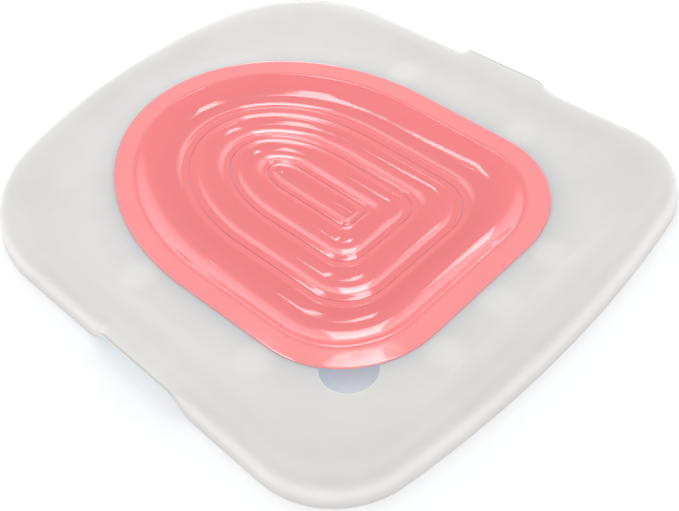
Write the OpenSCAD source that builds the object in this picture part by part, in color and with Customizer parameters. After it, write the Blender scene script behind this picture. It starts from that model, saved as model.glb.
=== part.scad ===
// Cat toilet training tray: a frosted plate that lies on a toilet bowl, and a thin formed litter insert
// whose rings are cut out one after another. Millimetres, +Z up, resting on z = 0.
// +Y points to the round end of the D-shaped opening, the flat end faces -Y.

/* [Plate] */
// Overall width of the plate
plate_w = 360; // [330:1:390]
// Overall length of the plate
plate_l = 405; // [375:1:430]
// Height of the plate from the skirt's edge to the top of the shoulder
plate_h = 16; // [14:0.5:20]
// Wall thickness of the plate
plate_t = 2; // [1.6:0.1:2.4]
// Height of the ledge that carries the insert
ledge_z = 13; // [12:0.5:13]
// Radius of the long curve across the flat end
flat_end_r = 790; // [600:10:1200]
// Radius of the corners at the flat end
flat_corner_r = 61; // [50:1:75]
// Radius of the corners at the round end
round_corner_r = 100; // [85:1:110]
// Radius of the curve across the round end
round_end_r = 374; // [330:1:420]
// Taper of each long side towards the round end, in degrees
side_taper = 2.3; // [1.5:0.1:3]
// Distance from the plate's edge to the crest of its shoulder
shoulder_in = 13; // [12:0.5:15]

/* [Finger edges] */
// How far a finger edge, where the skirt is left out, stands beyond the side
grip_out = 0.85; // [0:0.05:1]
// Where the skirt ends, at the flat-end side of a finger edge
grip_y0 = -70; // [-80:1:-60]
// Length over which the skirt rises at that side
grip_soft = 20; // [12:1:25]
// Where the skirt's lower edge ends, at the round-end side of a finger edge
grip_y1 = 29; // [24:1:34]
// Where the finger edge is level, at the round-end side
grip_level = 9; // [4:1:12]
// How much further along the skirt's lower edge is cut than the shoulder
grip_slant = 11; // [6:1:12]

/* [Finger notch] */
// Diameter of the notch that lets a finger under the insert
notch_d = 36; // [28:1:40]
// Distance of the notch's centre from the middle line
notch_x = 96; // [94:0.5:98]
// Distance of the notch's centre from the plate's middle, towards the flat end
notch_y = 120; // [118:0.5:122]

/* [Insert] */
// Half width of the opening in the plate
opening_w = 105; // [104:0.5:107]
// Half width of the insert's flange
flange_w = 116; // [114:0.5:118]
// Sheet thickness of the insert
sheet_t = 0.8; // [0.6:0.1:1]
// Depth of the outer channel below the flange
pan_depth = 8; // [7:0.25:9]
// Half width of the cut line on the outer ridge
cut_1 = 64.3; // [63:0.1:66]
// Half width of the cut line on the middle ridge
cut_2 = 36.7; // [36:0.1:38]
// Half width of the cut line on the inner ridge
cut_3 = 11.1; // [10.5:0.1:12]
// Width of each cut line
cut_gap = 0.3; // [0.3:0.05:0.4]

/* [Pads] */
// Diameter of the anti-slip pads
pad_d = 21; // [14:0.5:21]
// Thickness of the anti-slip pads
pad_t = 3; // [2:0.5:4]
// Distance of the side pads from the middle line
pad_side_x = 128; // [127:0.5:128]

/* [Hidden] */

frost = [0.87, 0.87, 0.86];
coral = [0.98, 0.55, 0.58];
foam = [0.96, 0.96, 0.94];

// Numbers of steps along half of an outline
n_end = 5;
n_corner = 8;
n_round = 9;
n_tip = 6;

// Where the seat of the plate meets its rising band
crease_w = 140;
// Places of the pads along the plate
pad_back_y = -155;
pad_back_x = 51;
pad_side_back_y = -72;
pad_side_front_y = 33;

// ---- Outlines ------------------------------------------------------------------------------------
// Every outline is a list of [x, y] that starts at the middle of the flat end and runs anticlockwise.
// The plate's outlines and its opening hold the same number of points, so that they can be joined.

function mirrored(half) =
    concat(half, [for (i = [len(half) - 2 : -1 : 1]) [-half[i][0], half[i][1]]]);

// Places along the long side of the plate, close together where a finger edge begins and ends
grip_steps = 5;
side_y = concat([-100],
                [for (i = [0 : grip_steps]) grip_y0 + grip_soft * i / grip_steps],
                [-15],
                [for (i = [0 : grip_steps]) grip_level + (grip_y1 - grip_level) * i / grip_steps],
                [55]);
n_side = len(side_y) + 1;

// The plate's outline moved inwards by s: a long arc, a corner arc, a tapered side, a corner arc, an arc
function plate_half(s) =
    let (l = plate_l / 2 - s, w = plate_w / 2 - s,
         R1 = flat_end_r - s, r1 = flat_corner_r - s, R2 = round_end_r - s, r2 = round_corner_r - s,
         a1 = asin((w - r1) / (R1 - r1)),
         c1 = [w - r1, -l + R1 - (R1 - r1) * cos(a1)],
         reach = c1[0] * cos(side_taper) + c1[1] * sin(side_taper) + r1,
         a2 = asin((reach - r2 - (l - R2) * sin(side_taper)) / (R2 - r2)) - side_taper,
         c2 = [(R2 - r2) * sin(a2), l - R2 + (R2 - r2) * cos(a2)])
    concat(
        [for (i = [0 : n_end - 1]) let (a = a1 * i / n_end) [R1 * sin(a), -l + R1 - R1 * cos(a)]],
        [for (i = [0 : n_corner]) let (a = a1 + (90 + side_taper - a1) * i / n_corner)
            c1 + r1 * [sin(a), -cos(a)]],
        [for (y = side_y) [(reach - y * sin(side_taper)) / cos(side_taper), y]],
        [for (i = [0 : n_round - 1]) let (a = side_taper + (90 - a2 - side_taper) * i / n_round)
            c2 + r2 * [cos(a), sin(a)]],
        [for (i = [0 : n_tip]) let (a = a2 * (1 - i / n_tip)) [R2 * sin(a), l - R2 + R2 * cos(a)]]);

function plate_outline(s) = mirrored(plate_half(s));

// The nested D shapes, by half width: flat end, round end, corner radius, start of the round end
d_flat = [[0, 31], [5, 33], [11.1, 38], [36.7, 62.5], [64.3, 91], [86, 110], [101.5, 125], [116, 141.4],
          [140, 166]];
d_tip = [[0, 32], [5, 37], [11.1, 43], [36.7, 73], [64.3, 103.5], [86, 125], [101.5, 140], [116, 155.5],
         [140, 169]];
d_corner = [[0, 0], [5, 3], [11.1, 6], [36.7, 17], [64.3, 32], [86, 46], [101.5, 57], [116, 70],
            [140, 88]];
d_start = [[0, 25], [11.1, 20], [36.7, 8], [64.3, 8], [101.5, 5], [140, 5]];

// Half of a D, with its flat end and its straight side cut into the given numbers of steps
function d_half(w, flat_steps, side_steps) =
    let (yf = -lookup(w, d_flat), yt = lookup(w, d_tip), r = lookup(w, d_corner), y0 = lookup(w, d_start),
         side = y0 - yf - r, n_ell = n_round + n_tip)
    concat(
        [for (i = [0 : flat_steps - 1]) [(w - r) * i / flat_steps, yf]],
        [for (i = [0 : n_corner]) let (a = 90 * i / n_corner) [w - r + r * sin(a), yf + r - r * cos(a)]],
        [for (i = [1 : 1 : side_steps - 1]) [w, yf + r + side * i / side_steps]],
        [for (i = [0 : n_ell]) let (a = 90 * i / n_ell) [w * cos(a), y0 + (yt - y0) * sin(a)]]);

// A D in the plate, with as many points as the plate's own outline, and a D in the insert
function plate_d(w) = mirrored(d_half(w, n_end, n_side));
function insert_d(w) = mirrored(d_half(w, 1, 1));

function blend(a, b, t) = [for (i = [0 : len(a) - 1]) a[i] * (1 - t) + b[i] * t];
function at_height(o, z) = [for (p = o) [p[0], p[1], z]];

// ---- Skins ---------------------------------------------------------------------------------------
// A closed band: rings run up the outside, over the top and back underneath to the first one
module band(rings) {
    n = len(rings[0]);
    m = len(rings);
    polyhedron(
        points = [for (r = rings) each r],
        faces = [for (j = [0 : m - 1]) for (i = [0 : n - 1])
            [j * n + i, ((j + 1) % m) * n + i, ((j + 1) % m) * n + (i + 1) % n, j * n + (i + 1) % n]],
        convexity = 8);
}

// A closed cup: rings run from the middle of the top out to the rim and back in underneath
module cup(rings) {
    n = len(rings[0]);
    m = len(rings);
    top = m * n;
    bottom = m * n + 1;
    middle_y = (rings[0][0][1] + rings[0][n / 2][1]) / 2;
    polyhedron(
        points = concat(
            [for (r = rings) each r],
            [[0, middle_y, rings[0][0][2]], [0, middle_y, rings[m - 1][0][2]]]),
        faces = concat(
            [for (i = [0 : n - 1]) [top, (i + 1) % n, i]],
            [for (j = [0 : m - 2]) for (i = [0 : n - 1])
                [j * n + i, j * n + (i + 1) % n, (j + 1) * n + (i + 1) % n, (j + 1) * n + i]],
            [for (i = [0 : n - 1]) [bottom, (m - 1) * n + i, (m - 1) * n + (i + 1) % n]]),
        convexity = 8);
}

// ---- Plate ---------------------------------------------------------------------------------------
function ramp(t) = let (u = max(0, min(1, t))) u * u * (3 - 2 * u);
// 1 along a finger edge, 0 elsewhere, for a point at a share of the plate's height
function grip(y, share) =
    let (end = grip_y1 - grip_slant * share)
    ramp((y - grip_y0) / grip_soft) * ramp((end - y) / (end - grip_level));

// One ring of the skirt at inset s and a share of height z; along the finger edges it moves up to a
// level shelf of height level, where its inset is shelf
function skirt_ring(s, share, z, shelf, level) =
    [for (p = plate_outline(s))
        let (side = abs(p[0]) > plate_w / 4 ? grip(p[1], share) : 0)
        [p[0] + sign(p[0]) * side * (s - shelf), p[1], share * z + side * (level - share * z)]];

// Skirt and shoulder from the edge up as [inset, share of height, distance from a finger edge's rim]
skirt = [[0, 0, 0], [0.5, 0.34, 0.6], [1.3, 0.62, 2.4], [3.2, 0.85, 4.9], [7.5, 0.97, 8.8],
         [shoulder_in, 1, shoulder_in + grip_out]];
// The inner face keeps the wall's thickness, but comes close to the outer face's inset at the shoulder
function inner_inset(s) = s + plate_t * (1 - 0.85 * s / shoulder_in);

module base_plate() {
    seat = plate_d(opening_w);
    crease = plate_d(crease_w);
    crest = plate_outline(shoulder_in);
    top_h = plate_h;
    under_h = plate_h - plate_t;
    mid_z = ledge_z + (top_h - ledge_z) * 0.62;
    color(frost)
    difference() {
        band(concat(
            [for (p = skirt) skirt_ring(p[0], p[1], top_h, p[2] - grip_out, top_h)],
            [at_height(blend(crest, crease, 0.5), mid_z),
             at_height(crease, ledge_z),
             at_height(seat, ledge_z),
             at_height(seat, ledge_z - plate_t),
             at_height(crease, ledge_z - plate_t),
             at_height(blend(crest, crease, 0.5), mid_z - plate_t)],
            [for (i = [len(skirt) - 1 : -1 : 0]) let (p = skirt[i], inner = inner_inset(p[0]))
                skirt_ring(inner, p[1], under_h, min(p[2] - grip_out, inner), under_h)]));
        translate([-notch_x, -notch_y, 0])
            cylinder(d = notch_d, h = plate_h + 1, $fn = 96);
    }
}

// ---- Insert --------------------------------------------------------------------------------------
// Profile points are [half width, height of the upper face], from the outside inwards
flange_z = ledge_z + sheet_t;
floor_1 = flange_z - pan_depth;
floor_2 = floor_1 + 0.2;
floor_3 = floor_1 + 0.5;
floor_4 = floor_1 + 1;
ridge_h = 2.4;
ridge_1 = floor_1 + ridge_h;
ridge_2 = floor_2 + ridge_h + 0.1;
ridge_3 = floor_3 + ridge_h + 0.1;
// Half width between the two crests of each ridge, and the dip of the valley between them
crest_1 = 4.9;
crest_2 = 4.25;
crest_3 = 3.4;
valley = 0.5;
crest_round = 0.9;
crest_drop = 0.35;
// Lowest line of each channel between the ridges
low_1 = 79.5;
low_2 = (cut_1 + cut_2) / 2;
low_3 = (cut_2 + cut_3) / 2;
slot_w = 1.5;
channel_steps = 4;
channel_curve = 2.2;

// Half of a ridge's top, from its cut line outwards (side +1) or inwards (side -1)
function ridge_top(cut, side, c, top) =
    [[cut + side * cut_gap / 2, top - valley], [cut + side * c * 0.4, top - 0.75 * valley],
     [cut + side * c * 0.78, top - 0.15 * valley], [cut + side * c, top],
     [cut + side * (c + crest_round), top - crest_drop]];

// The scooped flank from the edge at half width a and height z down to the lowest line at b
function scoop(a, z, b, floor_z) =
    [for (i = [1 : channel_steps]) let (u = i / channel_steps)
        [a + (b - a) * u, floor_z + (z - floor_z) * pow(1 - u, channel_curve)]];

// One side of a ridge with its flank, from the cut line to the channel's lowest line
function ridge_side(cut, side, c, top, low, floor_z) =
    concat(ridge_top(cut, side, c, top),
           scoop(cut + side * (c + crest_round), top - crest_drop, low, floor_z));

function back(list) = [for (i = [len(list) - 1 : -1 : 0]) list[i]];
function rest(list) = [for (i = [1 : len(list) - 1]) list[i]];

lip_w = opening_w - 4.4;
lip_z = flange_z - 0.45;
flange = [[flange_w, flange_z], [opening_w - 1.6, flange_z], [opening_w - 3.2, flange_z - 0.1],
          [lip_w, lip_z]];

rim_profile = concat(flange, scoop(lip_w, lip_z, low_1, floor_1),
                     rest(back(ridge_side(cut_1, 1, crest_1, ridge_1, low_1, floor_1))));
outer_profile = concat(ridge_side(cut_1, -1, crest_1, ridge_1, low_2, floor_2),
                       rest(back(ridge_side(cut_2, 1, crest_2, ridge_2, low_2, floor_2))));
inner_profile = concat(ridge_side(cut_2, -1, crest_2, ridge_2, low_3, floor_3),
                       rest(back(ridge_side(cut_3, 1, crest_3, ridge_3, low_3, floor_3))));
cup_profile = ridge_side(cut_3, -1, crest_3, ridge_3, slot_w, floor_4);

// The lower face of the sheet under a profile: straight down at both ends, square to the face between
function under(p) =
    [for (i = [0 : len(p) - 1])
        let (last = len(p) - 1, d = p[min(i + 1, last)] - p[max(i - 1, 0)], k = sheet_t / norm(d))
        i == 0 || i == last ? p[i] - [0, sheet_t] : p[i] + k * [-d[1], d[0]]];

function d_rings(profile) = [for (p = profile) at_height(insert_d(p[0]), p[1])];

module sheet_ring(profile) {
    color(coral)
    band(concat(d_rings(profile), d_rings(back(under(profile)))));
}

module litter_rim() {
    sheet_ring(rim_profile);
}

module outer_ring() {
    sheet_ring(outer_profile);
}

module inner_ring() {
    sheet_ring(inner_profile);
}

module centre_cup() {
    color(coral)
    cup(concat(d_rings(back(cup_profile)), d_rings(under(cup_profile))));
}

// ---- Pads ----------------------------------------------------------------------------------------
module pad(x, y) {
    color(foam)
    translate([x, y, ledge_z - plate_t - pad_t])
        cylinder(d = pad_d, h = pad_t, $fn = 64);
}

base_plate();
litter_rim();
outer_ring();
inner_ring();
centre_cup();
pad(-pad_back_x, pad_back_y);  // pad_back_left
pad(0, pad_back_y);  // pad_back_middle
pad(pad_back_x, pad_back_y);  // pad_back_right
pad(-pad_side_x, pad_side_back_y);  // pad_left_back
pad(-pad_side_x, pad_side_front_y);  // pad_left_front
pad(pad_side_x, pad_side_back_y);  // pad_right_back
pad(pad_side_x, pad_side_front_y);  // pad_right_front
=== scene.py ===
import math

import bmesh
import bpy
from mathutils import Matrix, Vector


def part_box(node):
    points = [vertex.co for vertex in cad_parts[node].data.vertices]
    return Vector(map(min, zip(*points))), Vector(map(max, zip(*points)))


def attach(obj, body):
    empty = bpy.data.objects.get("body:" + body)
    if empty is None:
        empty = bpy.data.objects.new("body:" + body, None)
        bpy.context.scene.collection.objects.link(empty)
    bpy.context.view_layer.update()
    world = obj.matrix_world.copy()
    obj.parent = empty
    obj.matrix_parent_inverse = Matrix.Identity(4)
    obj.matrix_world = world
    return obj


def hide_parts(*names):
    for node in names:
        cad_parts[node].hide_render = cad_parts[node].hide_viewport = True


bl_info = {
    "name": "Cat toilet training tray",
    "version": (1, 0, 0),
    "blender": (4, 5, 0),
    "location": "View3D > Sidebar > Training tray",
    "description": "Builds the frosted plate, its ringed litter insert, its pads and a plain studio",
    "category": "Add Mesh",
}

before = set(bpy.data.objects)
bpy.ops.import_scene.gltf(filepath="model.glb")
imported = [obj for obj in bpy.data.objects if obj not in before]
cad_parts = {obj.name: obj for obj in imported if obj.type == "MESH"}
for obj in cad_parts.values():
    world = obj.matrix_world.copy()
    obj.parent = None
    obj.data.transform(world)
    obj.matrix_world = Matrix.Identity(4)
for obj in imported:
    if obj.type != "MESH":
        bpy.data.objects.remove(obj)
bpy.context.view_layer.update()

MM = 0.001
PLATE_LOW, PLATE_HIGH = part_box("base_plate")
FLANGE_LOW, FLANGE_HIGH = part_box("litter_rim")
PADS = {name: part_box(name) for name in sorted(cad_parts) if name.startswith("pad_")}

# Numbers of steps along half of the plate's outline, and of a D in the insert
END_STEPS = 20
CORNER_STEPS = 28
ROUND_STEPS = 34
TIP_STEPS = 16
D_FLAT_STEPS = 6
D_CORNER_STEPS = 26
D_SIDE_STEPS = 10
D_ROUND_STEPS = 56
SOFTEN_ROUNDS = 3

# The nested D shapes in millimetres, by half width: flat end, round end, corner radius, start of the round end
D_FLAT = ((0, 31), (5, 33), (11.1, 38), (36.7, 62.5), (64.3, 91), (86, 110), (101.5, 125), (116, 141.4), (140, 166))
D_TIP = ((0, 32), (5, 37), (11.1, 43), (36.7, 73), (64.3, 103.5), (86, 125), (101.5, 140), (116, 155.5), (140, 169))
D_CORNER = ((0, 0), (5, 3), (11.1, 6), (36.7, 17), (64.3, 32), (86, 46), (101.5, 57), (116, 70), (140, 88))
D_START = ((0, 25), (11.1, 20), (36.7, 8), (64.3, 8), (101.5, 5), (140, 5))
D_WIDEST = 140


# ---- Sizes and colours that a user may change ---------------------------------------------------------
def length_property(name, description, value):
    return bpy.props.FloatProperty(name=name, description=description, default=value, unit="LENGTH",
                                   subtype="DISTANCE", precision=5)


def colour_property(name, description, value):
    return bpy.props.FloatVectorProperty(name=name, description=description, default=value, size=3,
                                         min=0.0, max=1.0, subtype="COLOR")


def number_property(name, description, value):
    return bpy.props.FloatProperty(name=name, description=description, default=value)


def angle_property(name, description, degrees):
    return bpy.props.FloatProperty(name=name, description=description, default=math.radians(degrees),
                                   subtype="ANGLE")


class PlateSizes(bpy.types.PropertyGroup):
    width: length_property("Width", "Overall width of the plate", 0.3599)
    length: length_property("Length", "Overall length of the plate", PLATE_HIGH.y - PLATE_LOW.y)
    height: length_property("Height", "Height of the shoulder's crest", PLATE_HIGH.z)
    wall: length_property("Wall", "Thickness of the plate's wall", 0.002)
    ledge: length_property("Ledge", "Height of the flat seat for the insert", 0.013)
    flat_end_radius: length_property("Flat end", "Radius of the curve across the flat end", 0.79)
    flat_corner: length_property("Flat corners", "Radius of the corners at the flat end", 0.061)
    round_corner: length_property("Round corners", "Radius of the corners at the round end", 0.1)
    round_end_radius: length_property("Round end", "Radius of the curve across the round end", 0.374)
    taper: angle_property("Taper", "Taper of the long sides towards the round end", 2.3)
    shoulder: length_property("Shoulder", "Distance from the edge to the shoulder's crest", 0.013)
    opening: length_property("Opening", "Half width of the opening", 0.105)
    grip_out: length_property("Grip", "How far a finger edge stands beyond the side", 0.00085)
    grip_start: length_property("Grip start", "Where the skirt ends, nearer the flat end", -0.07)
    grip_soft: length_property("Grip run-out", "Length over which the skirt rises there", 0.02)
    grip_end: length_property("Grip end", "Where the skirt's lower edge ends, nearer the round end", 0.029)
    grip_level: length_property("Grip level", "Where the finger edge is level, nearer the round end", 0.009)
    grip_slant: length_property("Grip slant", "How much further the skirt is cut than the shoulder", 0.011)
    notch_diameter: length_property("Notch", "Diameter of the finger notch", 0.036)
    notch_x: length_property("Notch side", "Middle of the notch from the middle line", -0.096)
    notch_y: length_property("Notch place", "Middle of the notch along the plate", -0.12)
    edge: length_property("Edge", "Rounding of the plate's edges", 0.0005)
    frost: colour_property("Frost", "Colour of the frosted plastic", (0.67, 0.655, 0.64))
    # Painted shade: the plate is made darker and cooler in a band beside the insert's flange
    painted_shade: colour_property("Shade", "Cooler tone beside the insert and in the crease", (0.585, 0.6, 0.625))
    # Painted light: paler patches where light comes back through the plate from the white pads under it
    painted_pad_light: colour_property("Patch", "Paler tone where a pad touches the plate", (0.79, 0.765, 0.73))


class InsertSizes(bpy.types.PropertyGroup):
    flange: length_property("Flange", "Half width of the insert's flange", FLANGE_HIGH.x)
    top: length_property("Top", "Height of the flange's upper face", FLANGE_HIGH.z)
    sheet: length_property("Sheet", "Thickness of the formed sheet", 0.0008)
    depth: length_property("Depth", "Depth of the outer channel below the flange", 0.008)
    gap: length_property("Cut", "Width of a cut line", 0.0003)
    edge: length_property("Edge", "Rounding of the sheet's cut edges", 0.00012)
    # These two colours are shaded and lit copies of one coral: painted light makes the sheet paler where it lies on
    # the white plate, painted shade makes it darker where it hangs over the space below
    pan: colour_property("Pan", "Colour where the sheet hangs free", (0.92, 0.228, 0.243))
    rim: colour_property("Rim", "Colour where the sheet lies on the plate", (0.99, 0.305, 0.315))


class PadSizes(bpy.types.PropertyGroup):
    edge: length_property("Edge", "Rounding of a pad's lower edge", 0.0008)
    foam: colour_property("Foam", "Colour of the foam", (0.86, 0.85, 0.81))


class StageSettings(bpy.types.PropertyGroup):
    azimuth: angle_property("Azimuth", "Direction that the camera looks from", -42.455)
    elevation: angle_property("Elevation", "Height angle of the camera", 47.046)
    roll: angle_property("Roll", "Tilt of the picture", -5.97)
    distance: length_property("Distance", "Distance of the camera from the tray", 0.8417)
    aside: length_property("Aside", "Camera's offset to its right", 0.01528)
    above: length_property("Above", "Camera's offset upwards", -0.03588)
    lens: number_property("Lens", "Focal length in millimetres", 66.27)
    floor: colour_property("Floor", "Colour of the floor", (0.72, 0.72, 0.72))
    sky: number_property("Surround", "Strength of the white surround near the horizon", 1.9)
    ceiling: number_property("Ceiling", "Strength of the surround overhead", 0.65)
    band: angle_property("Band", "Height angle where the bright surround ends", 27)
    fade: angle_property("Fade", "Half of the angle over which it fades", 6)
    panel: number_property("Panels", "Brightness of the soft panels' faces", 8.5)
    glow: number_property("Floor light", "Light that comes up through the floor sheet", 0.36)
    floor_light: colour_property("Floor light colour", "Colour of that light", (0.95, 0.97, 1.0))
    floor_shade: colour_property("Light under the tray", "Colour of that light under the tray", (0.42, 0.76, 0.93))


# ---- Outlines, in millimetres ---------------------------------------------------------------------------
def lookup(x, table):
    if x <= table[0][0]:
        return table[0][1]
    for (x0, y0), (x1, y1) in zip(table, table[1:]):
        if x <= x1:
            return y0 + (y1 - y0) * (x - x0) / (x1 - x0)
    return table[-1][1]


def mirrored(half):
    return half + [(-x, y) for x, y in reversed(half[1:-1])]


def stretch(start, end, step):
    count = max(1, round((end - start) / step))
    return [start + (end - start) * i / count for i in range(count)]


def side_places(p):
    """Places along a long side, close together where a finger edge begins and ends."""
    start, end = p.grip_start / MM, p.grip_end / MM
    soft, level = p.grip_soft / MM, p.grip_level / MM
    return (stretch(-124, start, 4) + stretch(start, start + soft, 1.25)
            + stretch(start + soft, level, 3.5) + stretch(level, end, 0.8)
            + stretch(end, 92, 4) + [92])


def plate_half(p, inset):
    """Half of the plate's outline moved inwards: long arc, corner arc, tapered side, corner arc, arc."""
    length = p.length / MM / 2 - inset
    width = p.width / MM / 2 - inset
    r_flat, r_flat_corner = p.flat_end_radius / MM - inset, p.flat_corner / MM - inset
    r_round, r_round_corner = p.round_end_radius / MM - inset, p.round_corner / MM - inset
    a1 = math.asin((width - r_flat_corner) / (r_flat - r_flat_corner))
    c1 = (width - r_flat_corner, -length + r_flat - (r_flat - r_flat_corner) * math.cos(a1))
    reach = c1[0] * math.cos(p.taper) + c1[1] * math.sin(p.taper) + r_flat_corner
    a2 = math.asin((reach - r_round_corner - (length - r_round) * math.sin(p.taper))
                   / (r_round - r_round_corner)) - p.taper
    c2 = ((r_round - r_round_corner) * math.sin(a2), length - r_round + (r_round - r_round_corner) * math.cos(a2))
    points = []
    for i in range(END_STEPS):
        a = a1 * i / END_STEPS
        points.append((r_flat * math.sin(a), -length + r_flat - r_flat * math.cos(a)))
    for i in range(CORNER_STEPS + 1):
        a = a1 + (math.pi / 2 + p.taper - a1) * i / CORNER_STEPS
        points.append((c1[0] + r_flat_corner * math.sin(a), c1[1] - r_flat_corner * math.cos(a)))
    for y in side_places(p):
        points.append(((reach - y * math.sin(p.taper)) / math.cos(p.taper), y))
    for i in range(ROUND_STEPS):
        a = p.taper + (math.pi / 2 - a2 - p.taper) * i / ROUND_STEPS
        points.append((c2[0] + r_round_corner * math.cos(a), c2[1] + r_round_corner * math.sin(a)))
    for i in range(TIP_STEPS + 1):
        a = a2 * (1 - i / TIP_STEPS)
        points.append((r_round * math.sin(a), length - r_round + r_round * math.cos(a)))
    points[0] = (0.0, points[0][1])
    points[-1] = (0.0, points[-1][1])
    return points


def d_half(w, flat_steps, corner_steps, side_steps, round_steps):
    """Half of a D of half width w, from the middle of its flat end to its tip."""
    flat, tip, r, start = -lookup(w, D_FLAT), lookup(w, D_TIP), lookup(w, D_CORNER), lookup(w, D_START)
    points = [((w - r) * i / flat_steps, flat) for i in range(flat_steps)]
    for i in range(corner_steps + 1):
        a = math.pi / 2 * i / corner_steps
        points.append((w - r + r * math.sin(a), flat + r - r * math.cos(a)))
    for i in range(1, side_steps):
        points.append((w, flat + r + (start - flat - r) * i / side_steps))
    for i in range(round_steps + 1):
        a = math.pi / 2 * i / round_steps
        points.append((w * math.cos(a), start + (tip - start) * math.sin(a)))
    points[-1] = (0.0, points[-1][1])
    return points


def insert_d(w):
    return mirrored(d_half(w, D_FLAT_STEPS, D_CORNER_STEPS, D_SIDE_STEPS, D_ROUND_STEPS))


def half_width_at(x, y):
    """The half width of the D that runs through a point."""
    x = abs(x)
    low, high = 0.0, float(D_WIDEST + 40)
    for _ in range(16):
        w = (low + high) / 2
        flat, tip = -lookup(w, D_FLAT) - max(0, w - D_WIDEST), lookup(w, D_TIP) + max(0, w - D_WIDEST)
        r, start = lookup(w, D_CORNER) + max(0, w - D_WIDEST), lookup(w, D_START)
        if y > start:
            inside = (x / max(w, 1e-6)) ** 2 + ((y - start) / (tip - start)) ** 2 < 1
        elif y < flat + r and x > w - r:
            inside = math.hypot(x - (w - r), y - (flat + r)) < r
        else:
            inside = x < w and y > flat
        low, high = (low, w) if inside else (w, high)
    return (low + high) / 2


def blended(a, b, t):
    return [(p[0] * (1 - t) + q[0] * t, p[1] * (1 - t) + q[1] * t) for p, q in zip(a, b)]


def soften(points, rounds):
    """Cuts the corners of an open profile into a smooth curve that keeps its two ends."""
    for _ in range(rounds):
        cut = [points[0]]
        for i, point in enumerate(points[:-1]):
            after = points[i + 1]
            if i:
                before = points[i - 1]
                cut.append(tuple((a + 6 * b + c) / 8 for a, b, c in zip(before, point, after)))
            cut.append(tuple((b + c) / 2 for b, c in zip(point, after)))
        points = cut + [points[-1]]
    return points


def edge_rounding(start, corner, end, steps=3):
    """Points of a small quarter round from start to end about a square corner."""
    centre = tuple(s + e - c for s, e, c in zip(start, end, corner))
    points = []
    for i in range(steps + 1):
        a = math.pi / 2 * i / steps
        points.append(tuple(c + (s - c) * math.cos(a) + (e - c) * math.sin(a)
                            for c, s, e in zip(centre, start, end)))
    return points


def square_end(profile, radius, under):
    """Closes a thin profile's end with two small rounds: returns the points from its upper to its lower face."""
    (x, z), (x2, _) = profile[-1], profile[-2]
    inward = radius if x2 > x else -radius
    upper = edge_rounding((x + inward, z), (x, z), (x, z - radius))
    lower = edge_rounding((x, under + radius), (x, under), (x + inward, under))
    return upper + lower


# ---- Mesh making ----------------------------------------------------------------------------------------
def first_loop(mesh, points):
    verts = [mesh.verts.new(p) for p in points]
    edges = [mesh.edges.new((a, b)) for a, b in zip(verts, verts[1:] + verts[:1])]
    return verts, edges


def extrude_loop(mesh, verts, edges, points):
    """Extrudes a closed loop of edges and moves the new loop onto the given points."""
    new = bmesh.ops.extrude_edge_only(mesh, edges=edges)["geom"]
    new_verts = {g for g in new if isinstance(g, bmesh.types.BMVert)}
    moved = []
    for vert, point in zip(verts, points):
        partner = next(e.other_vert(vert) for e in vert.link_edges if e.other_vert(vert) in new_verts)
        partner.co = point
        moved.append(partner)
    rim = [mesh.edges.get((a, b)) for a, b in zip(moved, moved[1:] + moved[:1])]
    return moved, rim


def loft(mesh, rings, spreads, closed):
    """Skins a row of loops, and joins the last to the first or fills both ends.

    Each loop's spread, the half width of its D in millimetres, is stored on its vertices for the materials.
    """
    layer = mesh.verts.layers.float.new("spread")
    start, start_edges = first_loop(mesh, rings[0])
    verts, edges = start, start_edges
    for vert in start:
        vert[layer] = spreads[0]
    for ring, spread in zip(rings[1:], spreads[1:]):
        verts, edges = extrude_loop(mesh, verts, edges, ring)
        for vert in verts:
            vert[layer] = spread
    if closed:
        bmesh.ops.bridge_loops(mesh, edges=start_edges + edges)
        return
    for loop_verts, loop_edges in ((start, start_edges), (verts, edges)):
        middle = sum((v.co for v in loop_verts), Vector()) / len(loop_verts)
        new = bmesh.ops.extrude_edge_only(mesh, edges=loop_edges)["geom"]
        tip = [g for g in new if isinstance(g, bmesh.types.BMVert)]
        bmesh.ops.pointmerge(mesh, verts=tip, merge_co=middle)


def finished_object(mesh, name, sharp_degrees=40):
    bmesh.ops.remove_doubles(mesh, verts=mesh.verts, dist=1e-6)
    bmesh.ops.recalc_face_normals(mesh, faces=mesh.faces)
    data = bpy.data.meshes.new(name)
    mesh.to_mesh(data)
    mesh.free()
    data.shade_smooth()
    data.set_sharp_from_angle(angle=math.radians(sharp_degrees))
    piece = bpy.data.objects.new(name, data)
    bpy.context.scene.collection.objects.link(piece)
    return piece


def placed(outline, z):
    return [Vector((x, y, z)) * MM for x, y in outline]


def fill_spread(piece):
    """Gives the vertices that a cut has made the half width of the D that runs through them."""
    for vert, value in zip(piece.data.vertices, piece.data.attributes["spread"].data):
        if value.value < 1.0:
            value.value = half_width_at(vert.co.x / MM, vert.co.y / MM)


# ---- Plate ----------------------------------------------------------------------------------------------
BAND_REACH = 25.0
SEAT_REACH = 35.0
BAND_RISE = 0.62
PLATE_EDGE_SPREAD = 178.0
# Painted light and shade on the frosted plastic: how much lighter or darker it is made, from the opening (0) out to
# the skirt's edge (1), with a painted shadow line at the skirt's lower edge
PLATE_LIGHT_AND_SHADE = ((0.0, 0.98), (0.18, 0.98), (0.3, 1.0), (0.46, 1.03), (0.6, 1.01), (0.73, 0.99),
               (0.82, 1.02), (0.9, 1.03), (0.94, 1.05), (0.975, 1.06), (0.99, 0.94), (1.0, 0.78))


def ramp(t):
    t = max(0.0, min(1.0, t))
    return t * t * (3 - 2 * t)


def grip_share(p, y, rise):
    """1 along a finger edge and 0 elsewhere, for a place y in millimetres at a share of the height."""
    start, level = p.grip_start / MM, p.grip_level / MM
    end = (p.grip_end - p.grip_slant * rise) / MM
    return ramp((y - start) / (p.grip_soft / MM)) * ramp((end - y) / (end - level))


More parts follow.
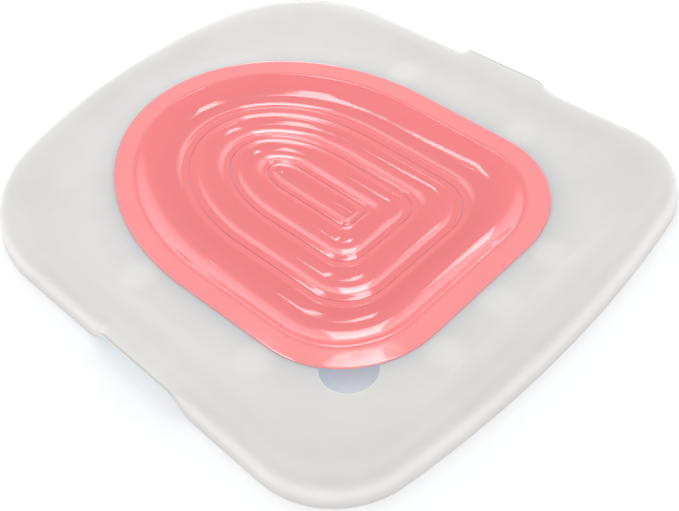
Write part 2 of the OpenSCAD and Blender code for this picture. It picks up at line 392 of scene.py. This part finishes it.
def plate_ring(p, shapes, point):
    """One loop of the plate, from its reach and height, and its reach and height along a finger edge.

    The reach runs from the edge over the shoulder and the band to the opening.
    """
    reach, z, shelf_reach, shelf_z = point
    crest, crease, seat = shapes
    shoulder = p.shoulder / MM
    if reach <= shoulder:
        outline = mirrored(plate_half(p, reach))
    elif reach <= shoulder + BAND_REACH:
        outline = blended(crest, crease, (reach - shoulder) / BAND_REACH)
    else:
        outline = blended(crease, seat, (reach - shoulder - BAND_REACH) / SEAT_REACH)
    rise = min(1.0, z / (p.height / MM))
    ring = []
    for x, y in outline:
        side = grip_share(p, y, rise) if abs(x) > p.width / MM / 4 and reach < shoulder + 1 else 0.0
        ring.append(Vector((x + math.copysign(side * (reach - shelf_reach), x), y,
                            z + side * (shelf_z - z))) * MM)
    return ring


def level_profile(points):
    """Profile points that are the same along a finger edge as elsewhere."""
    return [(reach, z, reach, z) for reach, z in points]


def plate_profile(p):
    """The closed section of the plate: up the outside, inwards to the opening, and back underneath."""
    height, wall, ledge = p.height / MM, p.wall / MM, p.ledge / MM
    shoulder, edge, out = p.shoulder / MM, p.edge / MM, -p.grip_out / MM
    crease, end = shoulder + BAND_REACH, shoulder + BAND_REACH + SEAT_REACH
    middle, rise = shoulder + BAND_REACH / 2, (height - ledge) * BAND_RISE
    under = height - wall
    skirt = ((0.5, 0.34, 1.2), (1.3, 0.62, 2.7), (3.2, 0.85, 4.9), (7.5, 0.97, 8.8))
    outside = [(0.0, edge, out + edge, height)]
    outside += [(reach, share * height, out + shelf, height) for reach, share, shelf in skirt]
    outside += level_profile([(shoulder, height), (middle, ledge + rise), (crease, ledge),
                              (crease + 5, ledge), (end - edge, ledge)])
    inside = [(wall, edge, out + edge, under)]
    for reach, share, shelf in skirt:
        inner = reach + wall * (1 - 0.85 * reach / shoulder)
        inside.append((inner, share * under, min(out + shelf, inner), under))
    inside += level_profile([(shoulder + 0.15 * wall, under), (middle, ledge - wall + rise),
                             (crease, ledge - wall), (crease + 5, ledge - wall), (end - edge, ledge - wall)])
    opening = (edge_rounding((end - edge, ledge), (end, ledge), (end, ledge - edge))
               + edge_rounding((end, ledge - wall + edge), (end, ledge - wall), (end - edge, ledge - wall)))
    foot = (edge_rounding((wall, edge, out + edge, under), (wall, 0.0, out, under),
                          (wall - edge, 0.0, out, under + edge))
            + edge_rounding((edge, 0.0, out, height - edge), (0.0, 0.0, out, height),
                            (0.0, edge, out + edge, height)))
    upper, lower = soften(outside, SOFTEN_ROUNDS), soften(inside, SOFTEN_ROUNDS)
    return upper[:-1] + level_profile(opening) + lower[-2:0:-1] + foot[:-1]


def cut_notch(piece, p):
    """Cuts the round finger notch through the ledge beside the opening."""
    tool_mesh = bmesh.new()
    bmesh.ops.create_cone(tool_mesh, cap_ends=True, segments=128, radius1=p.notch_diameter / 2,
                          radius2=p.notch_diameter / 2, depth=0.05,
                          matrix=Matrix.Translation((p.notch_x, p.notch_y, p.ledge)))
    tool_data = bpy.data.meshes.new("notch_tool")
    tool_mesh.to_mesh(tool_data)
    tool_mesh.free()
    tool = bpy.data.objects.new("notch_tool", tool_data)
    bpy.context.scene.collection.objects.link(tool)
    cut = piece.modifiers.new("notch", "BOOLEAN")
    cut.operation = "DIFFERENCE"
    cut.solver = "EXACT"
    cut.object = tool
    graph = bpy.context.evaluated_depsgraph_get()
    result = bpy.data.meshes.new_from_object(piece.evaluated_get(graph))
    piece.modifiers.clear()
    piece.data = result
    bpy.data.objects.remove(tool)


def make_plate(p):
    crest = mirrored(plate_half(p, p.shoulder / MM))
    side_steps = len(side_places(p)) + 1
    steps = (END_STEPS, CORNER_STEPS, side_steps, ROUND_STEPS + TIP_STEPS)
    crease = mirrored(d_half(D_WIDEST, *steps))
    seat = mirrored(d_half(p.opening / MM, *steps))
    shapes = (crest, crease, seat)
    profile = plate_profile(p)
    seat_end = p.opening / MM + p.shoulder / MM + BAND_REACH + SEAT_REACH
    mesh = bmesh.new()
    loft(mesh, [plate_ring(p, shapes, point) for point in profile],
         [seat_end - point[0] for point in profile], True)
    piece = finished_object(mesh, "frosted_plate")
    cut_notch(piece, p)
    piece.data.set_sharp_from_angle(angle=math.radians(40))
    fill_spread(piece)
    piece.data.materials.clear()
    piece.data.materials.append(frosted_plastic(p))
    return piece


# ---- Insert ---------------------------------------------------------------------------------------------
CUTS = (64.3, 36.7, 11.1)
CRESTS = (4.9, 4.25, 3.4)
CREST_ROUND = 0.9
CREST_DROP = 0.35
VALLEY = 0.5
RIDGE = 2.4
LOW_1 = 79.5
SLOT_W = 1.5
CHANNEL_STEPS = 6
CHANNEL_CURVE = 2.2


def insert_heights(s):
    """Heights of the channel floors and of the ridge tops, from the outside inwards."""
    first = (s.top - s.depth) / MM
    floors = (first, first + 0.2, first + 0.5, first + 1.0)
    ridges = (floors[0] + RIDGE, floors[1] + RIDGE + 0.1, floors[2] + RIDGE + 0.1)
    return floors, ridges


def ridge_side(index, side, top, low, floor, gap):
    """Half of a ridge and its scooped flank: from the cut line down to the channel's lowest line."""
    cut, crest = CUTS[index], CRESTS[index]
    points = [(cut + side * gap / 2, top - VALLEY), (cut + side * crest * 0.4, top - VALLEY * 0.75),
              (cut + side * crest * 0.78, top - VALLEY * 0.15), (cut + side * crest, top),
              (cut + side * (crest + CREST_ROUND), top - CREST_DROP)]
    return points + scoop(points[-1], low, floor)


def scoop(edge, low, floor):
    points = []
    for i in range(1, CHANNEL_STEPS + 1):
        u = i / CHANNEL_STEPS
        points.append((edge[0] + (low - edge[0]) * u, floor + (edge[1] - floor) * (1 - u) ** CHANNEL_CURVE))
    return points


def insert_profiles(s):
    floors, ridges = insert_heights(s)
    gap, top, opening = s.gap / MM, s.top / MM, s.flange / MM - 11
    low_2, low_3 = (CUTS[0] + CUTS[1]) / 2, (CUTS[1] + CUTS[2]) / 2
    lip = (opening - 4.4, top - 0.45)
    flange = [(s.flange / MM, top), (s.flange / MM - 4, top), (opening + 2, top), (opening - 1.6, top),
              (opening - 3.2, top - 0.1), lip]
    rim = flange + scoop(lip, LOW_1, floors[0]) + ridge_side(0, 1, ridges[0], LOW_1, floors[0], gap)[-2::-1]
    outer = (ridge_side(0, -1, ridges[0], low_2, floors[1], gap)
             + ridge_side(1, 1, ridges[1], low_2, floors[1], gap)[-2::-1])
    inner = (ridge_side(1, -1, ridges[1], low_3, floors[2], gap)
             + ridge_side(2, 1, ridges[2], low_3, floors[2], gap)[-2::-1])
    cup = ridge_side(2, -1, ridges[2], SLOT_W, floors[3], gap)
    return {"litter_rim": rim, "outer_ring": outer, "inner_ring": inner, "centre_cup": cup}


def under_face(profile, thickness):
    """The lower face of the sheet: straight below both ends, square to the upper face between them."""
    points = []
    for i, (x, z) in enumerate(profile):
        before, after = profile[max(i - 1, 0)], profile[min(i + 1, len(profile) - 1)]
        dx, dz = after[0] - before[0], after[1] - before[1]
        if i in (0, len(profile) - 1):
            dx, dz = -1.0, 0.0
        size = math.hypot(dx, dz)
        points.append((x - dz / size * thickness, z + dx / size * thickness))
    return points


def sheet_section(profile, s, open_end):
    """The closed section of the formed sheet, or for the cup the section from its middle round to below."""
    upper = soften(profile, SOFTEN_ROUNDS - 1)
    lower = under_face(upper, s.sheet / MM)
    edge = s.edge / MM
    outer_end = square_end(upper[::-1], edge, lower[0][1])
    if open_end:
        return upper[:0:-1] + outer_end + lower[1:]
    inner_end = square_end(upper, edge, lower[-1][1])
    return upper[1:-1] + inner_end + lower[-2:0:-1] + outer_end[::-1]


def make_insert(s):
    bodies = {"litter_rim": "rim", "outer_ring": "ring_outer", "inner_ring": "ring_inner", "centre_cup": "cup"}
    coral = coral_sheet(s)
    for node, profile in insert_profiles(s).items():
        is_cup = node == "centre_cup"
        section = sheet_section(profile, s, is_cup)
        mesh = bmesh.new()
        loft(mesh, [placed(insert_d(w), z) for w, z in section], [w for w, _ in section], not is_cup)
        piece = finished_object(mesh, node + "_sheet", 60)
        piece.data.materials.append(coral)
        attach(piece, bodies[node])
        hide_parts(node)


# ---- Pads -----------------------------------------------------------------------------------------------
def make_pad(node, p, material):
    """A foam disc with a soft lower edge and a thin adhesive layer set in from its upper edge."""
    low, high = PADS[node]
    middle = (low + high) / 2
    radius, depth = (high.x - low.x) / 2, high.z - low.z
    mesh = bmesh.new()
    bmesh.ops.create_cone(mesh, cap_ends=True, segments=96, radius1=radius, radius2=radius, depth=depth,
                          matrix=Matrix.Translation(middle))
    faces = [f for f in mesh.faces if abs(f.normal.z) > 0.9]
    foot = [f for f in faces if f.normal.z < 0]
    bmesh.ops.bevel(mesh, geom=foot[0].edges[:], offset=p.edge, offset_type="OFFSET", affect="EDGES",
                    segments=4, profile=0.5, material=-1, clamp_overlap=True)
    top = [f for f in mesh.faces if f.normal.z > 0.9 and f.calc_area() > radius * radius]
    bmesh.ops.inset_region(mesh, faces=top, thickness=radius * 0.06, depth=0.0)
    bmesh.ops.inset_region(mesh, faces=top, thickness=radius * 0.02, depth=-depth * 0.04)
    piece = finished_object(mesh, node + "_foam", 50)
    piece.data.materials.append(material)
    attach(piece, "plate")
    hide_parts(node)


# ---- Materials ------------------------------------------------------------------------------------------
def new_material(name):
    """A new material; returns it with its nodes, its links and its shader."""
    material = bpy.data.materials.new(name)
    material.use_nodes = True
    nodes, links = material.node_tree.nodes, material.node_tree.links
    shader = nodes["Principled BSDF"]
    return material, nodes, links, shader


def noise(nodes, links, scale, detail=3.0, roughness=0.5):
    place = nodes.new("ShaderNodeTexCoord")
    texture = nodes.new("ShaderNodeTexNoise")
    texture.inputs["Scale"].default_value = scale
    texture.inputs["Detail"].default_value = detail
    texture.inputs["Roughness"].default_value = roughness
    links.new(place.outputs["Object"], texture.inputs["Vector"])
    return texture.outputs["Fac"]


def ramp_between(nodes, links, value, low, high, to_low, to_high, smooth=True):
    node = nodes.new("ShaderNodeMapRange")
    node.interpolation_type = "SMOOTHSTEP" if smooth else "LINEAR"
    for name, number in (("From Min", low), ("From Max", high), ("To Min", to_low), ("To Max", to_high)):
        node.inputs[name].default_value = number
    links.new(value, node.inputs["Value"])
    return node.outputs["Result"]


def math_node(nodes, links, operation, a, b):
    node = nodes.new("ShaderNodeMath")
    node.operation = operation
    for socket, value in zip(node.inputs, (a, b)):
        if isinstance(value, (int, float)):
            socket.default_value = value
        else:
            links.new(value, socket)
    return node.outputs["Value"]


def mixed(nodes, links, factor, a, b):
    node = nodes.new("ShaderNodeMix")
    node.data_type = "RGBA"
    if isinstance(factor, (int, float)):
        node.inputs["Factor"].default_value = factor
    else:
        links.new(factor, node.inputs["Factor"])
    for name, value in (("A", a), ("B", b)):
        socket = next(s for s in node.inputs if s.name == name and s.type == "RGBA")
        if isinstance(value, (tuple, list)) or hasattr(value, "__len__"):
            socket.default_value = (*value[:3], 1.0)
        else:
            links.new(value, socket)
    return next(s for s in node.outputs if s.type == "RGBA")


def scaled(nodes, links, colour, factor):
    """A colour made lighter or darker by a factor."""
    node = nodes.new("ShaderNodeVectorMath")
    node.operation = "SCALE"
    links.new(colour, node.inputs[0])
    links.new(factor, node.inputs["Scale"])
    return node.outputs["Vector"]


def draw_curve(curve, points):
    """Sets a curve of a curve node to the given points."""
    for place, value in points[1:-1]:
        curve.points.new(place, value)
    curve.points[0].location = points[0]
    curve.points[-1].location = points[-1]


def add_bump(nodes, links, shader, height, strength, distance):
    bump = nodes.new("ShaderNodeBump")
    bump.inputs["Strength"].default_value = strength
    bump.inputs["Distance"].default_value = distance
    links.new(height, bump.inputs["Height"])
    links.new(bump.outputs["Normal"], shader.inputs["Normal"])


def spread_value(nodes):
    node = nodes.new("ShaderNodeAttribute")
    node.attribute_name = "spread"
    return node.outputs["Fac"]


def spots(nodes, links, centres, inner, outer):
    """1 near any of the given places, fading to 0 at the outer radius."""
    place = nodes.new("ShaderNodeTexCoord")
    flat = nodes.new("ShaderNodeVectorMath")
    flat.operation = "MULTIPLY"
    flat.inputs[1].default_value = (1.0, 1.0, 0.0)
    links.new(place.outputs["Object"], flat.inputs[0])
    total = None
    for x, y in centres:
        away = nodes.new("ShaderNodeVectorMath")
        away.operation = "DISTANCE"
        away.inputs[1].default_value = (x, y, 0.0)
        links.new(flat.outputs["Vector"], away.inputs[0])
        near = ramp_between(nodes, links, away.outputs["Value"], inner, outer, 1.0, 0.0)
        total = near if total is None else math_node(nodes, links, "MAXIMUM", total, near)
    return total


def frosted_plastic(p):
    material, nodes, links, shader = new_material("frosted_finish")
    spread = spread_value(nodes)
    cloud = ramp_between(nodes, links, noise(nodes, links, 14.0, 4.0, 0.6), 0.35, 0.65, 0.0, 1.0)
    light = tuple(min(1.0, c * 1.04) for c in p.frost)
    base = mixed(nodes, links, cloud, p.frost, light)
    # Painted shade: the plate turns darker and cooler in a band beside the insert's flange
    beside = ramp_between(nodes, links, spread, 116.0, 128.0, 0.75, 0.0)
    base = mixed(nodes, links, beside, base, p.painted_shade)
    # Painted light: paler patches over the pads, where light comes back through the plate from them
    pads = spots(nodes, links, [tuple((low + high) / 2)[:2] for low, high in PADS.values()], 0.004, 0.017)
    base = mixed(nodes, links, math_node(nodes, links, "MULTIPLY", pads, 0.7), base, p.painted_pad_light)
    # Painted light and shade: the plate is made lighter or darker across its width, from the opening out to the
    # skirt's edge
    tone = nodes.new("ShaderNodeFloatCurve")
    links.new(ramp_between(nodes, links, spread, p.opening / MM, PLATE_EDGE_SPREAD, 0.0, 1.0, False),
              tone.inputs["Value"])
    draw_curve(tone.mapping.curves[0], [(spread, value / 2) for spread, value in PLATE_LIGHT_AND_SHADE])
    tone.mapping.update()
    base = scaled(nodes, links, base, math_node(nodes, links, "MULTIPLY", tone.outputs["Value"], 2.0))
    links.new(base, shader.inputs["Base Color"])
    rough = ramp_between(nodes, links, noise(nodes, links, 60.0), 0.3, 0.7, 0.36, 0.46)
    links.new(rough, shader.inputs["Roughness"])
    shader.inputs["IOR"].default_value = 1.49
    shader.inputs["Specular IOR Level"].default_value = 0.35
    shader.inputs["Subsurface Weight"].default_value = 0.25
    shader.inputs["Subsurface Radius"].default_value = (0.004, 0.004, 0.004)
    shader.inputs["Subsurface Scale"].default_value = 1.0
    grain = noise(nodes, links, 1500.0, 2.0)
    add_bump(nodes, links, shader, grain, 0.12, 0.0002)
    return material


def coral_sheet(s):
    material, nodes, links, shader = new_material("coral_finish")
    spread = spread_value(nodes)
    # Painted light: the sheet turns from the darker hanging colour to the paler colour where it lies on the plate
    painted_light_on_plate = ramp_between(nodes, links, spread, 101.0, 105.0, 0.0, 1.0)
    base = mixed(nodes, links, painted_light_on_plate, s.pan, s.rim)
    cloud = ramp_between(nodes, links, noise(nodes, links, 22.0, 3.0), 0.35, 0.65, 0.0, 0.12)
    deeper = tuple(c * 0.9 for c in s.pan)
    base = mixed(nodes, links, cloud, base, deeper)
    links.new(base, shader.inputs["Base Color"])
    rough = ramp_between(nodes, links, noise(nodes, links, 35.0), 0.3, 0.7, 0.05, 0.1)
    links.new(rough, shader.inputs["Roughness"])
    shader.inputs["IOR"].default_value = 1.54
    ripple = noise(nodes, links, 90.0, 1.0)
    add_bump(nodes, links, shader, ripple, 0.15, 0.0004)
    return material


def pad_foam(p):
    material, nodes, links, shader = new_material("foam_finish")
    cells = nodes.new("ShaderNodeTexVoronoi")
    cells.inputs["Scale"].default_value = 1400.0
    place = nodes.new("ShaderNodeTexCoord")
    links.new(place.outputs["Object"], cells.inputs["Vector"])
    darker = tuple(c * 0.86 for c in p.foam)
    links.new(mixed(nodes, links, cells.outputs["Distance"], darker, p.foam), shader.inputs["Base Color"])
    shader.inputs["Roughness"].default_value = 0.85
    add_bump(nodes, links, shader, cells.outputs["Distance"], 0.6, 0.0003)
    return material


def floor_material(stage):
    material, nodes, links, shader = new_material("floor_finish")
    soft = ramp_between(nodes, links, noise(nodes, links, 2.0), 0.3, 0.7, 0.0, 1.0)
    dimmer = tuple(c * 0.985 for c in stage.floor)
    links.new(mixed(nodes, links, soft, stage.floor, dimmer), shader.inputs["Base Color"])
    shader.inputs["Roughness"].default_value = 0.7
    shader.inputs["Specular IOR Level"].default_value = 0.2
    under_tray = spots(nodes, links, [(0.0, 0.0)], 0.13, 0.19)
    links.new(mixed(nodes, links, under_tray, stage.floor_light, stage.floor_shade), shader.inputs["Emission Color"])
    shader.inputs["Emission Strength"].default_value = stage.glow
    return material


# ---- Stage ----------------------------------------------------------------------------------------------
def direction(azimuth, elevation):
    """Unit vector from the tray towards a place, with the azimuth turned from +Y towards +X."""
    return Vector((math.sin(azimuth) * math.cos(elevation), math.cos(azimuth) * math.cos(elevation),
                   math.sin(elevation)))


def panel(name, width, height, radiance, place, turn):
    """A soft white panel that shows the same brightness whatever its size."""
    data = bpy.data.lights.new(name, "AREA")
    data.shape = "RECTANGLE"
    data.size, data.size_y = width, height
    data.energy = radiance * math.pi * width * height
    light = bpy.data.objects.new(name, data)
    light.location = place
    light.rotation_euler = turn
    light.visible_camera = False
    bpy.context.scene.collection.objects.link(light)


def upright_panel(name, azimuth, elevation, distance, width, height, radiance):
    towards = direction(math.radians(azimuth), math.radians(elevation))
    panel(name, width, height, radiance, towards * distance, towards.to_track_quat("Z", "Y").to_euler())


def hanging_panel(name, place, width, height, turn, radiance):
    panel(name, width, height, radiance, place, (0.0, 0.0, math.radians(turn)))


def make_camera(stage):
    back = Vector((math.sin(stage.azimuth) * math.cos(stage.elevation),
                   -math.cos(stage.azimuth) * math.cos(stage.elevation), math.sin(stage.elevation)))
    right = Vector((0, 0, 1)).cross(back).normalized()
    up = back.cross(right)
    x_axis = right * math.cos(stage.roll) + up * math.sin(stage.roll)
    y_axis = up * math.cos(stage.roll) - right * math.sin(stage.roll)
    place = back * stage.distance + x_axis * stage.aside + y_axis * stage.above
    data = bpy.data.cameras.new("camera")
    data.lens = stage.lens
    data.sensor_width = 36.0
    data.clip_start = 0.01
    camera = bpy.data.objects.new("camera", data)
    turned = Matrix((x_axis, y_axis, back)).transposed().to_4x4()
    camera.matrix_world = Matrix.Translation(place) @ turned
    bpy.context.scene.collection.objects.link(camera)
    bpy.context.scene.camera = camera


def make_surround(stage):
    """A white surround, bright from the floor up to a band above the horizon and dim overhead."""
    world = bpy.data.worlds.new("studio")
    world.use_nodes = True
    nodes, links = world.node_tree.nodes, world.node_tree.links
    place = nodes.new("ShaderNodeTexCoord")
    split = nodes.new("ShaderNodeSeparateXYZ")
    links.new(place.outputs["Generated"], split.inputs["Vector"])
    low, high = math.sin(stage.band - stage.fade), math.sin(stage.band + stage.fade)
    strength = ramp_between(nodes, links, split.outputs["Z"], low, high, stage.sky, stage.ceiling)
    background = nodes["Background"]
    background.inputs["Color"].default_value = (1.0, 1.0, 1.0, 1.0)
    links.new(strength, background.inputs["Strength"])
    bpy.context.scene.world = world


def make_stage(stage):
    mesh = bmesh.new()
    bmesh.ops.create_grid(mesh, x_segments=8, y_segments=8, size=6.0)
    floor = finished_object(mesh, "studio_floor_sheet")
    floor.data.transform(Matrix.Translation((0, 0, -0.0002)))
    floor.data.materials.append(floor_material(stage))
    make_surround(stage)
    upright_panel("back_panel", 41.5, 20, 2.55, 0.45, 1.1, 0.55 * stage.panel)
    hanging_panel("overhead_panel", (0.25, 0.63, 1.3), 0.55, 0.1, 33, stage.panel)
    hanging_panel("overhead_side_panel", (0.53, 0.47, 1.3), 0.36, 0.12, 66, stage.panel)
    bpy.context.scene.view_settings.view_transform = "Standard"
    make_camera(stage)


# ---- Operators ------------------------------------------------------------------------------------------
class TRAY_OT_plate(bpy.types.Operator):
    """Build the frosted plate with its skirt, finger edges, opening and finger notch"""
    bl_idname = "tray.plate"
    bl_label = "Plate"

    def execute(self, context):
        piece = make_plate(context.scene.tray_plate)
        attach(piece, "plate")
        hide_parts("base_plate")
        return {"FINISHED"}


class TRAY_OT_insert(bpy.types.Operator):
    """Build the litter rim, the two rings and the centre cup of the formed insert"""
    bl_idname = "tray.insert"
    bl_label = "Insert"

    def execute(self, context):
        make_insert(context.scene.tray_insert)
        return {"FINISHED"}


class TRAY_OT_pads(bpy.types.Operator):
    """Build the foam pads under the plate"""
    bl_idname = "tray.pads"
    bl_label = "Pads"

    def execute(self, context):
        material = pad_foam(context.scene.tray_pads)
        for node in PADS:
            make_pad(node, context.scene.tray_pads, material)
        return {"FINISHED"}


class TRAY_OT_stage(bpy.types.Operator):
    """Set up the floor, the soft lights and the camera"""
    bl_idname = "tray.stage"
    bl_label = "Stage"

    def execute(self, context):
        make_stage(context.scene.tray_stage)
        return {"FINISHED"}


class TRAY_PT_panel(bpy.types.Panel):
    """Lists the tray's pieces with their sizes and colours"""
    bl_label = "Training tray"
    bl_idname = "TRAY_PT_panel"
    bl_space_type = "VIEW_3D"
    bl_region_type = "UI"
    bl_category = "Training tray"

    def draw(self, context):
        scene = context.scene
        for operator, group in (("tray.plate", scene.tray_plate), ("tray.insert", scene.tray_insert),
                                ("tray.pads", scene.tray_pads), ("tray.stage", scene.tray_stage)):
            box = self.layout.box()
            box.operator(operator)
            for name in group.__annotations__:
                box.prop(group, name)


CLASSES = (PlateSizes, InsertSizes, PadSizes, StageSettings, TRAY_OT_plate, TRAY_OT_insert, TRAY_OT_pads,
           TRAY_OT_stage, TRAY_PT_panel)
GROUPS = {"tray_plate": PlateSizes, "tray_insert": InsertSizes, "tray_pads": PadSizes,
          "tray_stage": StageSettings}


def register():
    for cls in CLASSES:
        bpy.utils.register_class(cls)
    for name, group in GROUPS.items():
        setattr(bpy.types.Scene, name, bpy.props.PointerProperty(type=group))


def unregister():
    for name in GROUPS:
        delattr(bpy.types.Scene, name)
    for cls in reversed(CLASSES):
        bpy.utils.unregister_class(cls)


def main():
    register()
    bpy.ops.tray.stage()
    bpy.ops.tray.plate()
    bpy.ops.tray.insert()
    bpy.ops.tray.pads()


if __name__ == "__main__":
    main()
